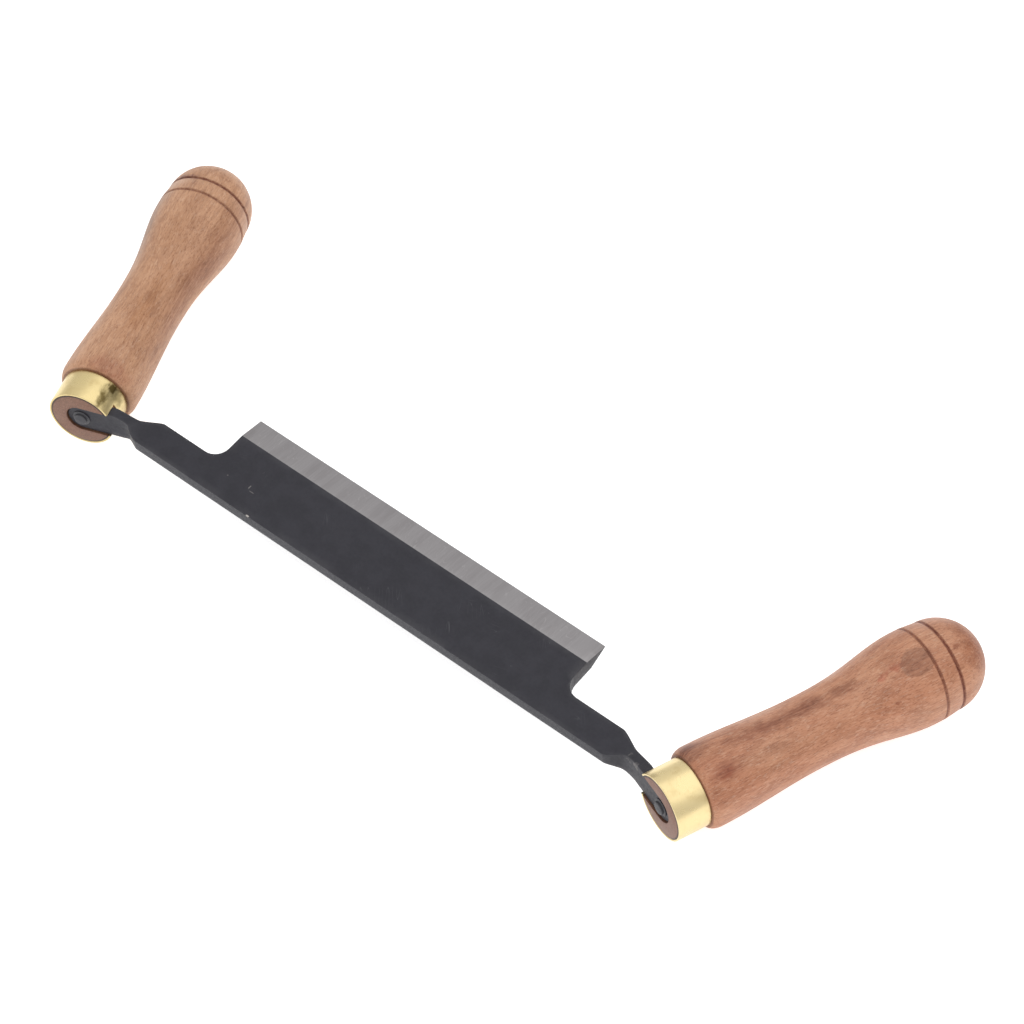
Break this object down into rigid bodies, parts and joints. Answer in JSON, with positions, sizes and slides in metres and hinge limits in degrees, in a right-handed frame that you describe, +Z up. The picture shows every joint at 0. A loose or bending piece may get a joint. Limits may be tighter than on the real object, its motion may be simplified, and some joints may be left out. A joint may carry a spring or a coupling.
{
  "type": "drawknife",
  "caption": "Two-handled drawknife: flat forged blade with a straight bevelled edge, arms that turn into flared turned beech handles with brass ferrules.",
  "frame": {"origin": "on the surface that the tool lies on, under the middle of its length and depth", "axes": "+X along the cutting edge towards the right handle, as seen from the spine; +Y from the spine past the cutting edge to the butts of the handles; +Z up, out of the blade's face, with the tool lying on its handles"},
  "size_m": [0.3738, 0.1264, 0.0347],
  "materials": {
    "forged_steel": "black oxide with a satin ground bevel",
    "beech": "steamed beech, turned and oiled",
    "brass": "polished tube",
    "rod_steel": "black oxide, riveted ends",
    "washer_steel": "bright steel"
  },
  "bodies": {
    "root": {"blade": "forged_steel", "handle_left": "beech", "handle_right": "beech", "ferrule_left": "brass", "ferrule_right": "brass", "tang_rod_left": "rod_steel", "tang_rod_right": "rod_steel", "butt_washer_left": "washer_steel", "butt_washer_right": "washer_steel"}
  },
  "joints": []
}
